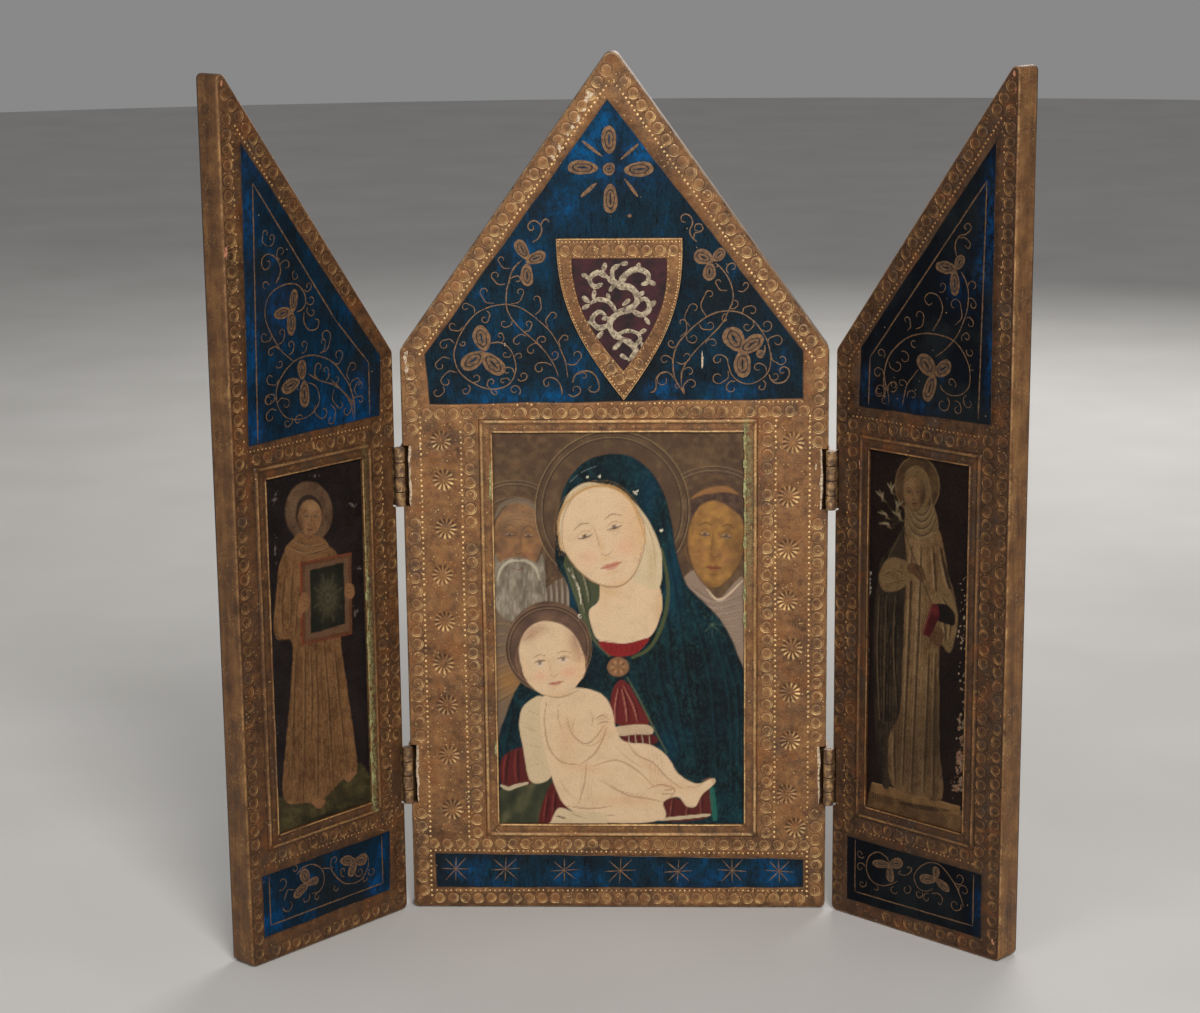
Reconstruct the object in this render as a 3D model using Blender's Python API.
"""Folding triptych altarpiece: a gabled centre panel and two half-gable wings on butt hinges.

Metres, +Z up, front towards -Y. The origin is the middle of the centre panel's underside.
"""

import math

import bmesh
import bpy
from mathutils import Matrix, Vector

# Panels
PANEL_WIDTH = 0.270  # the centre panel
PANEL_THICKNESS = 0.020
SHOULDER_HEIGHT = 0.372  # where the gable springs from
APEX_HEIGHT = 0.561  # where the gable's two slopes would meet
TIP_RADIUS = 0.0060
WING_TIP_RADIUS = 0.0034
SHOULDER_RADIUS = 0.0060
FOOT_RADIUS = 0.0036
FRONT_ROUND = 0.0010
BACK_ROUND = 0.0030
ARC_STEP = math.radians(20)
FRONT_ROUND_STEPS = 1
BACK_ROUND_STEPS = 3

# How the wings stand and close
LEFT_OPEN_ANGLE = math.radians(50)  # forward of the flat, open position
RIGHT_OPEN_ANGLE = math.radians(42)
MEETING_GAP = 0.0008  # between the wings' free edges when both are closed
FOLD_CLEARANCE = 0.0008  # between two facing mouldings when closed

# Raised mouldings round the pictures
MOULDING_WIDTH = 0.0088
MOULDING_PROUD = 0.0018
MOULDING_TOE = 0.0012  # width of the outer slope
MOULDING_LIP = 0.0006  # width of the inner slope
MOULDING_CROWN = 0.0003  # how much higher the inner arris is than the outer one
PICTURE_SINK = 0.0004  # how far each picture lies below the panel's face
JOIN_DEPTH = 0.0008  # how far a raised form is rooted in its panel
# Each moulding: distance from the hinge edge (or the middle), height of its foot, width, height
CENTRE_FRAME_SHIFT = 0.0021
CENTRE_FRAME_FOOT = 0.0491
CENTRE_FRAME_WIDTH = 0.1770
CENTRE_FRAME_HEIGHT = 0.2787
LEFT_FRAME_INSET = 0.0213
LEFT_FRAME_FOOT = 0.0728
LEFT_FRAME_WIDTH = 0.0972
LEFT_FRAME_HEIGHT = 0.2442
RIGHT_FRAME_INSET = 0.0195
RIGHT_FRAME_FOOT = 0.0688
RIGHT_FRAME_WIDTH = 0.0943
RIGHT_FRAME_HEIGHT = 0.2522

# Shield on the gable
SHIELD_SHIFT = 0.0038
SHIELD_LEAN = 0.0022  # its tip lies this much further off the middle than its top
SHIELD_TIP_ABOVE_FRAME = 0.0116
SHIELD_WIDTH = 0.0788
SHIELD_HEIGHT = 0.1030
SHIELD_PROUD = 0.0022
SHIELD_RIM = 0.0098
SHIELD_FIELD_SINK = 0.0009
SHIELD_ROUND = 0.0005
SHIELD_SIDE_STEPS = 9

# Butt hinges
HINGE_LENGTH = 0.038
KNUCKLE_COUNT = 4
KNUCKLE_GAP = 0.0003
BARREL_RADIUS = 0.0032
BARREL_SIDES = 24
PIN_RADIUS = 0.0013
PIN_FIT = 0.0003  # radial clearance between the pin and its knuckles
LEAF_THICKNESS = 0.00115
LEAF_DEPTH = 0.0150  # how far a leaf reaches behind the panel's face
LEAF_GAP = 0.0003  # between two leaves when the wings are flat open
WOOD_FIT = 0.0003  # between a leaf and the panel's edge
LEAF_END = 0.0001  # how far a leaf's ends lie inside its knuckles' ends
KNUCKLE_CLEARANCE = 0.0003  # between a leaf and the other leaf's knuckles
LEFT_HINGE_HEIGHTS = (0.291, 0.092)
RIGHT_HINGE_HEIGHTS = (0.288, 0.091)
CENTRE_MORTISE_WIDTH = 0.0045
WING_MORTISE_WIDTH = 0.0028
MORTISE_DEPTH = 0.0050
MORTISE_END_GAP = 0.0008

# Leaf screws
SCREW_SPACING = 0.023
SCREW_SETBACK = 0.0102  # behind the panel's face
SCREW_RADIUS = 0.0011
SCREW_LENGTH = 0.0100
SCREW_HEAD_RADIUS = 0.0021
SCREW_HEAD_HEIGHT = 0.0008
SCREW_FIT = 0.0003
SCREW_SIDES = 16

# Values that follow from the ones above
AXIS_PROUD = MOULDING_PROUD + FOLD_CLEARANCE / 2
EDGE_GAP = 2 * (LEAF_THICKNESS + WOOD_FIT) + LEAF_GAP
FACE_Y = -PANEL_THICKNESS / 2
AXIS_X = PANEL_WIDTH / 2 + EDGE_GAP / 2
AXIS_Y = FACE_Y - AXIS_PROUD
WING_WIDTH = PANEL_WIDTH / 2 - MEETING_GAP / 2
SLOPE = (APEX_HEIGHT - SHOULDER_HEIGHT) / (PANEL_WIDTH / 2)
WING_PEAK = SHOULDER_HEIGHT + SLOPE * WING_WIDTH
OVERCUT = 0.002  # how far a cutter reaches past what it cuts
UPRIGHT = Matrix.Rotation(-math.pi / 2, 4, "Y")  # stands a solid made along X up along Z


def clear_scene():
    for obj in list(bpy.data.objects):
        bpy.data.objects.remove(obj, do_unlink=True)


def make_material(name, colour, metallic, roughness):
    material = bpy.data.materials.new(name)
    material.use_nodes = True
    shader = material.node_tree.nodes["Principled BSDF"]
    shader.inputs["Base Color"].default_value = (*colour, 1.0)
    shader.inputs["Metallic"].default_value = metallic
    shader.inputs["Roughness"].default_value = roughness
    material.diffuse_color = (*colour, 1.0)
    return material


def object_from(name, bm, material=None):
    """A new object that holds bm's faces, all turned outwards."""
    bmesh.ops.recalc_face_normals(bm, faces=bm.faces)
    mesh = bpy.data.meshes.new(name)
    bm.to_mesh(mesh)
    bm.free()
    obj = bpy.data.objects.new(name, mesh)
    bpy.context.scene.collection.objects.link(obj)
    if material is not None:
        mesh.materials.append(material)
    return obj


def combine(target, tool, operation):
    """Joins tool to target, or cuts it away, and removes the tool."""
    modifier = target.modifiers.new("combine", "BOOLEAN")
    modifier.operation = operation
    modifier.solver = "EXACT"
    modifier.object = tool
    bpy.context.view_layer.update()
    graph = bpy.context.evaluated_depsgraph_get()
    result = bpy.data.meshes.new_from_object(target.evaluated_get(graph))
    target.modifiers.clear()
    old = target.data
    target.data = result
    bpy.data.meshes.remove(old)
    tool_mesh = tool.data
    bpy.data.objects.remove(tool, do_unlink=True)
    bpy.data.meshes.remove(tool_mesh)


def rounded(corners):
    """The outline through corners (x, z, radius), each turned into an arc of its radius."""
    outline = []
    count = len(corners)
    for i, (x, z, radius) in enumerate(corners):
        here = Vector((x, z))
        before = Vector(corners[i - 1][:2]) - here
        after = Vector(corners[(i + 1) % count][:2]) - here
        if radius <= 0:
            outline.append(here)
            continue
        half = before.angle(after) / 2
        reach = radius / math.tan(half)
        reach = min(reach, 0.45 * before.length, 0.45 * after.length)
        radius = reach * math.tan(half)
        middle = here + (before.normalized() + after.normalized()).normalized() * (radius / math.sin(half))
        start = here + before.normalized() * reach - middle
        turn = math.pi - 2 * half
        steps = max(2, math.ceil(turn / ARC_STEP))
        sign = 1 if before.x * after.y - before.y * after.x < 0 else -1
        for k in range(steps + 1):
            angle = sign * turn * k / steps
            c = math.cos(angle)
            s = math.sin(angle)
            outline.append(middle + Vector((c * start.x - s * start.y, s * start.x + c * start.y)))
    return outline


def slab(name, outline, front, back, front_round, front_steps, back_round, back_steps, material=None):
    """A plate with this outline in X and Z, from y = front to y = back, its two rims rounded."""
    bm = bmesh.new()
    face = bm.faces.new([bm.verts.new((p.x, front, p.y)) for p in outline])
    grown = bmesh.ops.extrude_face_region(bm, geom=[face])
    moved = [g for g in grown["geom"] if isinstance(g, bmesh.types.BMVert)]
    bmesh.ops.translate(bm, verts=moved, vec=(0, back - front, 0))
    for level, size, steps in ((front, front_round, front_steps), (back, back_round, back_steps)):
        if size > 0:
            rim = [e for e in bm.edges if all(abs(v.co.y - level) < 1e-7 for v in e.verts)]
            bmesh.ops.bevel(
                bm, geom=rim, offset=size, offset_type="OFFSET", segments=steps, profile=0.5, affect="EDGES"
            )
    return object_from(name, bm, material)


def box(name, low, high):
    bm = bmesh.new()
    bmesh.ops.create_cube(bm, size=1.0)
    size = Vector(high) - Vector(low)
    centre = (Vector(high) + Vector(low)) / 2
    bmesh.ops.transform(bm, matrix=Matrix.Translation(centre) @ Matrix.Diagonal((*size, 1.0)), verts=bm.verts)
    return object_from(name, bm)


def turned(name, profile, sides, matrix, material=None):
    """A closed solid turned about X from (x, radius) pairs, then placed by matrix."""
    bm = bmesh.new()
    rings = []
    for x, radius in profile:
        ring = []
        for k in range(sides):
            a = 2 * math.pi * k / sides
            ring.append(bm.verts.new((x, radius * math.cos(a), radius * math.sin(a))))
        rings.append(ring)
    for first, second in zip(rings, rings[1:]):
        for k in range(sides):
            n = (k + 1) % sides
            bm.faces.new((first[k], first[n], second[n], second[k]))
    bm.faces.new(rings[0])
    bm.faces.new(rings[-1])
    bmesh.ops.transform(bm, matrix=matrix, verts=bm.verts)
    return object_from(name, bm, material)


def moulding(name, low, high, face):
    """A raised frame round a picture, between two corners (x, z), on the plane y = face."""
    profile = (
        (0.0, -JOIN_DEPTH),
        (0.0, MOULDING_PROUD * 0.35),
        (MOULDING_TOE, MOULDING_PROUD - MOULDING_CROWN),
        (MOULDING_WIDTH - MOULDING_LIP, MOULDING_PROUD),
        (MOULDING_WIDTH, MOULDING_PROUD - MOULDING_LIP),
        (MOULDING_WIDTH, -JOIN_DEPTH),
    )
    bm = bmesh.new()
    loops = []
    for inset, proud in profile:
        y = face - proud
        corners = (
            (low[0] + inset, y, low[1] + inset),
            (high[0] - inset, y, low[1] + inset),
            (high[0] - inset, y, high[1] - inset),
            (low[0] + inset, y, high[1] - inset),
        )
        loops.append([bm.verts.new(c) for c in corners])
    for i, loop in enumerate(loops):
        after = loops[(i + 1) % len(loops)]
        for k in range(4):
            n = (k + 1) % 4
            bm.faces.new((loop[k], loop[n], after[n], after[k]))
    return object_from(name, bm)


def shield_outline(width, height, tip_x, tip_z, top_x):
    """A heater shield, its sides bowed from the top corners down to the tip."""
    top = tip_z + height
    points = [Vector((top_x + width / 2, top)), Vector((top_x - width / 2, top))]
    for side in (-1, 1):
        run = []
        for k in range(1, SHIELD_SIDE_STEPS):
            t = k / SHIELD_SIDE_STEPS
            reach = math.cos(math.pi / 2 * t ** 1.25)
            run.append(Vector((top_x + (tip_x - top_x) * t + side * width / 2 * reach, top - height * t)))
        if side < 0:
            points += run
            points.append(Vector((tip_x, tip_z)))
        else:
            points += reversed(run)
    return points


def add_shield(panel):
    tip_z = CENTRE_FRAME_FOOT + CENTRE_FRAME_HEIGHT + SHIELD_TIP_ABOVE_FRAME
    tip_x = SHIELD_SHIFT + SHIELD_LEAN
    outer = shield_outline(SHIELD_WIDTH, SHIELD_HEIGHT, tip_x, tip_z, SHIELD_SHIFT)
    body = slab("shield", outer, FACE_Y - SHIELD_PROUD, FACE_Y + JOIN_DEPTH, SHIELD_ROUND, 1, 0, 0)
    combine(panel, body, "UNION")
    tip_rim = SHIELD_RIM * SHIELD_HEIGHT / (SHIELD_WIDTH / 2)
    tip_rim = min(tip_rim, SHIELD_HEIGHT / 3)
    inner = shield_outline(
        SHIELD_WIDTH - 2 * SHIELD_RIM,
        SHIELD_HEIGHT - SHIELD_RIM * 1.3 - tip_rim * 0.75,
        tip_x,
        tip_z + tip_rim * 0.75,
        SHIELD_SHIFT,
    )
    sunk = FACE_Y - SHIELD_PROUD + SHIELD_FIELD_SINK
    field = slab("field", inner, FACE_Y - SHIELD_PROUD - OVERCUT, sunk, 0, 0, 0, 0)
    combine(panel, field, "DIFFERENCE")


def add_frame(panel, low_x, high_x, foot, height, face):
    """The moulding round a picture, and the picture's own shallow bed inside it."""
    low = (low_x, foot)
    high = (high_x, foot + height)
    combine(panel, moulding("frame", low, high, face), "UNION")
    edge = MOULDING_WIDTH
    bed = box(
        "bed",
        (low[0] + edge, face - OVERCUT, low[1] + edge),
        (high[0] - edge, face + PICTURE_SINK, high[1] - edge),
    )
    combine(panel, bed, "DIFFERENCE")


def cut_for_hinges(panel, edge_x, inward, mortise_width, heights, face):
    """Mortises for the barrels in the front corner, and pilot holes for the leaf screws."""
    for height in heights:
        reach = HINGE_LENGTH / 2 + MORTISE_END_GAP
        near = edge_x - inward * OVERCUT
        far = edge_x + inward * mortise_width
        mortise = box(
            "mortise",
            (min(near, far), face - OVERCUT, height - reach),
            (max(near, far), face + MORTISE_DEPTH, height + reach),
        )
        combine(panel, mortise, "DIFFERENCE")
        for step in (-0.5, 0.5):
            bore = SCREW_RADIUS + SCREW_FIT
            depth = SCREW_LENGTH
            spot = Matrix.Translation((edge_x, face + SCREW_SETBACK, height + step * SCREW_SPACING))
            turn = Matrix.Diagonal((inward, 1, 1, 1))
            pilot = turned("pilot", ((-OVERCUT, bore), (depth, bore)), SCREW_SIDES, spot @ turn)
            combine(panel, pilot, "DIFFERENCE")


def knuckle_spans(own):
    """The (bottom, top) of each knuckle of one leaf, from the hinge's middle."""
    pitch = (HINGE_LENGTH + KNUCKLE_GAP) / KNUCKLE_COUNT
    spans = []
    for k in range(KNUCKLE_COUNT):
        if k % 2 == own:
            low = -HINGE_LENGTH / 2 + k * pitch
            spans.append((low, low + pitch - KNUCKLE_GAP))
    return spans


def leaf_outline(own, face):
    """The (y, z) corners of a leaf's plate, with a tongue to each of its own knuckles."""
    clear = BARREL_RADIUS + KNUCKLE_CLEARANCE
    root = (BARREL_RADIUS + PIN_RADIUS + PIN_FIT) / 2
    end = HINGE_LENGTH / 2 - LEAF_END
    corners = [(face + LEAF_DEPTH, -end), (face + LEAF_DEPTH, end)]
    level = end
    for low, high in reversed(knuckle_spans(own)):
        if level - (high - LEAF_END) > LEAF_END:
            corners += [(clear, level), (clear, high - LEAF_END)]
        corners += [(root, high - LEAF_END), (root, low + LEAF_END)]
        level = low + LEAF_END
    if level + end > LEAF_END:
        corners += [(clear, level), (clear, -end)]
    return corners


def leaf(name, side, own, face, material):
    """A hinge leaf about the hinge's middle. side is where its panel lies, own its knuckles."""
    outer = side * (EDGE_GAP / 2 - WOOD_FIT)
    inner = side * LEAF_GAP / 2
    bm = bmesh.new()
    flat = bm.faces.new([bm.verts.new((outer, y, z)) for y, z in leaf_outline(own, face)])
    grown = bmesh.ops.extrude_face_region(bm, geom=[flat])
    moved = [g for g in grown["geom"] if isinstance(g, bmesh.types.BMVert)]
    bmesh.ops.translate(bm, verts=moved, vec=(inner - outer, 0, 0))
    plate = object_from(name, bm)
    for low, high in knuckle_spans(own):
        knuckle = turned("knuckle", ((low, BARREL_RADIUS), (high, BARREL_RADIUS)), BARREL_SIDES, UPRIGHT)
        combine(plate, knuckle, "UNION")
    reach = HINGE_LENGTH / 2 + OVERCUT
    bore_radius = PIN_RADIUS + PIN_FIT
    bore = turned("bore", ((-reach, bore_radius), (reach, bore_radius)), BARREL_SIDES, UPRIGHT)
    combine(plate, bore, "DIFFERENCE")
    for step in (-0.5, 0.5):
        spot = Matrix.Translation((inner, face + SCREW_SETBACK, step * SCREW_SPACING))
        turn = Matrix.Diagonal((side, 1, 1, 1))
        flare = (SCREW_HEAD_RADIUS - SCREW_RADIUS) / SCREW_HEAD_HEIGHT
        profile = (
            (-LEAF_GAP, SCREW_HEAD_RADIUS + SCREW_FIT + LEAF_GAP * flare),
            (SCREW_HEAD_HEIGHT, SCREW_RADIUS + SCREW_FIT),
            (LEAF_THICKNESS + OVERCUT, SCREW_RADIUS + SCREW_FIT),
        )
        combine(plate, turned("hole", profile, SCREW_SIDES, spot @ turn), "DIFFERENCE")
    plate.data.materials.clear()
    plate.data.materials.append(material)
    return plate


def screw(name, side, face, material):
    """A countersunk screw through a leaf, its head level with the leaf."""
    inner = side * LEAF_GAP / 2
    spot = Matrix.Translation((inner, face + SCREW_SETBACK, 0.0))
    turn = Matrix.Diagonal((side, 1, 1, 1))
    shank = SCREW_LENGTH - 2 * SCREW_RADIUS
    profile = (
        (0.0, SCREW_HEAD_RADIUS),
        (SCREW_HEAD_HEIGHT, SCREW_RADIUS),
        (shank, SCREW_RADIUS),
        (SCREW_LENGTH, SCREW_RADIUS * 0.3),
    )
    return turned(name, profile, SCREW_SIDES, spot @ turn, material)


def build_centre(material):
    half = PANEL_WIDTH / 2
    outline = rounded(
        (
            (-half, 0.0, FOOT_RADIUS),
            (half, 0.0, FOOT_RADIUS),
            (half, SHOULDER_HEIGHT, SHOULDER_RADIUS),
            (0.0, APEX_HEIGHT, TIP_RADIUS),
            (-half, SHOULDER_HEIGHT, SHOULDER_RADIUS),
        )
    )
    panel = slab(
        "centre_panel",
        outline,
        FACE_Y,
        FACE_Y + PANEL_THICKNESS,
        FRONT_ROUND,
        FRONT_ROUND_STEPS,
        BACK_ROUND,
        BACK_ROUND_STEPS,
        material,
    )
    add_frame(
        panel,
        CENTRE_FRAME_SHIFT - CENTRE_FRAME_WIDTH / 2,
        CENTRE_FRAME_SHIFT + CENTRE_FRAME_WIDTH / 2,
        CENTRE_FRAME_FOOT,
        CENTRE_FRAME_HEIGHT,
        FACE_Y,
    )
    add_shield(panel)
    cut_for_hinges(panel, -half, 1, CENTRE_MORTISE_WIDTH, LEFT_HINGE_HEIGHTS, FACE_Y)
    cut_for_hinges(panel, half, -1, CENTRE_MORTISE_WIDTH, RIGHT_HINGE_HEIGHTS, FACE_Y)
    return panel


def build_wing(name, side, inset, foot, width, height, hinge_heights, material):
    """A half-gable wing about its hinge axis at x = y = 0, as it lies when flat open."""
    near = EDGE_GAP / 2
    far = near + WING_WIDTH
    outline = rounded(
        (
            (side * near, 0.0, FOOT_RADIUS),
            (side * far, 0.0, FOOT_RADIUS),
            (side * far, WING_PEAK, WING_TIP_RADIUS),
            (side * near, SHOULDER_HEIGHT, SHOULDER_RADIUS),
        )
    )
    wing = slab(
        name,
        outline,
        AXIS_PROUD,
        AXIS_PROUD + PANEL_THICKNESS,
        FRONT_ROUND,
        FRONT_ROUND_STEPS,
        BACK_ROUND,
        BACK_ROUND_STEPS,
        material,
    )
    ends = sorted((side * (near + inset), side * (near + inset + width)))
    add_frame(wing, ends[0], ends[1], foot, height, AXIS_PROUD)
    cut_for_hinges(wing, side * near, side, WING_MORTISE_WIDTH, hinge_heights, AXIS_PROUD)
    return wing


def build_hinge(prefix, side, height, pivot, brass, steel):
    """One butt hinge: two leaves, the pin and four screws."""
    stand = bpy.data.objects.new(prefix + "_stand", None)
    bpy.context.scene.collection.objects.link(stand)
    stand.location = (side * AXIS_X, AXIS_Y, 0.0)
    reach = HINGE_LENGTH / 2
    pin_profile = ((-reach, PIN_RADIUS), (reach, PIN_RADIUS))
    fixed = [
        (leaf(prefix + "_centre_leaf", -side, 0, AXIS_PROUD, brass), 0.0),
        (turned(prefix + "_pin", pin_profile, BARREL_SIDES, UPRIGHT, steel), 0.0),
    ]
    moving = [(leaf(prefix + "_wing_leaf", side, 1, AXIS_PROUD, brass), 0.0)]
    for number, step in ((1, -0.5), (2, 0.5)):
        rise = step * SCREW_SPACING
        fixed.append((screw(f"{prefix}_centre_screw_{number}", -side, AXIS_PROUD, steel), rise))
        moving.append((screw(f"{prefix}_wing_screw_{number}", side, AXIS_PROUD, steel), rise))
    for parent, pieces in ((stand, fixed), (pivot, moving)):
        for piece, rise in pieces:
            piece.parent = parent
            piece.location = (0.0, 0.0, height + rise)


def build_side(word, side, angle, frame, hinge_heights, gilt, brass, steel):
    """A wing and its two hinges, hung on an empty that stands on the hinge axis."""
    pivot = bpy.data.objects.new(word + "_wing_pivot", None)
    bpy.context.scene.collection.objects.link(pivot)
    pivot.location = (side * AXIS_X, AXIS_Y, 0.0)
    pivot.rotation_euler = (0.0, 0.0, -side * angle)
    wing = build_wing(word + "_wing", side, *frame, hinge_heights, gilt)
    wing.parent = pivot
    for place, height in zip(("upper", "lower"), hinge_heights):
        build_hinge(f"{word}_{place}_hinge", side, height, pivot, brass, steel)


def main():
    clear_scene()
    gilt_centre = make_material("gilt_centre", (0.26, 0.14, 0.055), 0.25, 0.45)
    gilt_left = make_material("gilt_left", (0.20, 0.105, 0.04), 0.25, 0.5)
    gilt_right = make_material("gilt_right", (0.18, 0.09, 0.035), 0.25, 0.5)
    brass = make_material("old_brass", (0.20, 0.13, 0.07), 0.8, 0.45)
    steel = make_material("dull_steel", (0.12, 0.11, 0.10), 0.9, 0.5)
    build_centre(gilt_centre)
    left = (LEFT_FRAME_INSET, LEFT_FRAME_FOOT, LEFT_FRAME_WIDTH, LEFT_FRAME_HEIGHT)
    right = (RIGHT_FRAME_INSET, RIGHT_FRAME_FOOT, RIGHT_FRAME_WIDTH, RIGHT_FRAME_HEIGHT)
    build_side("left", -1, LEFT_OPEN_ANGLE, left, LEFT_HINGE_HEIGHTS, gilt_left, brass, steel)
    build_side("right", 1, RIGHT_OPEN_ANGLE, right, RIGHT_HINGE_HEIGHTS, gilt_right, brass, steel)
    bpy.context.view_layer.update()


main()
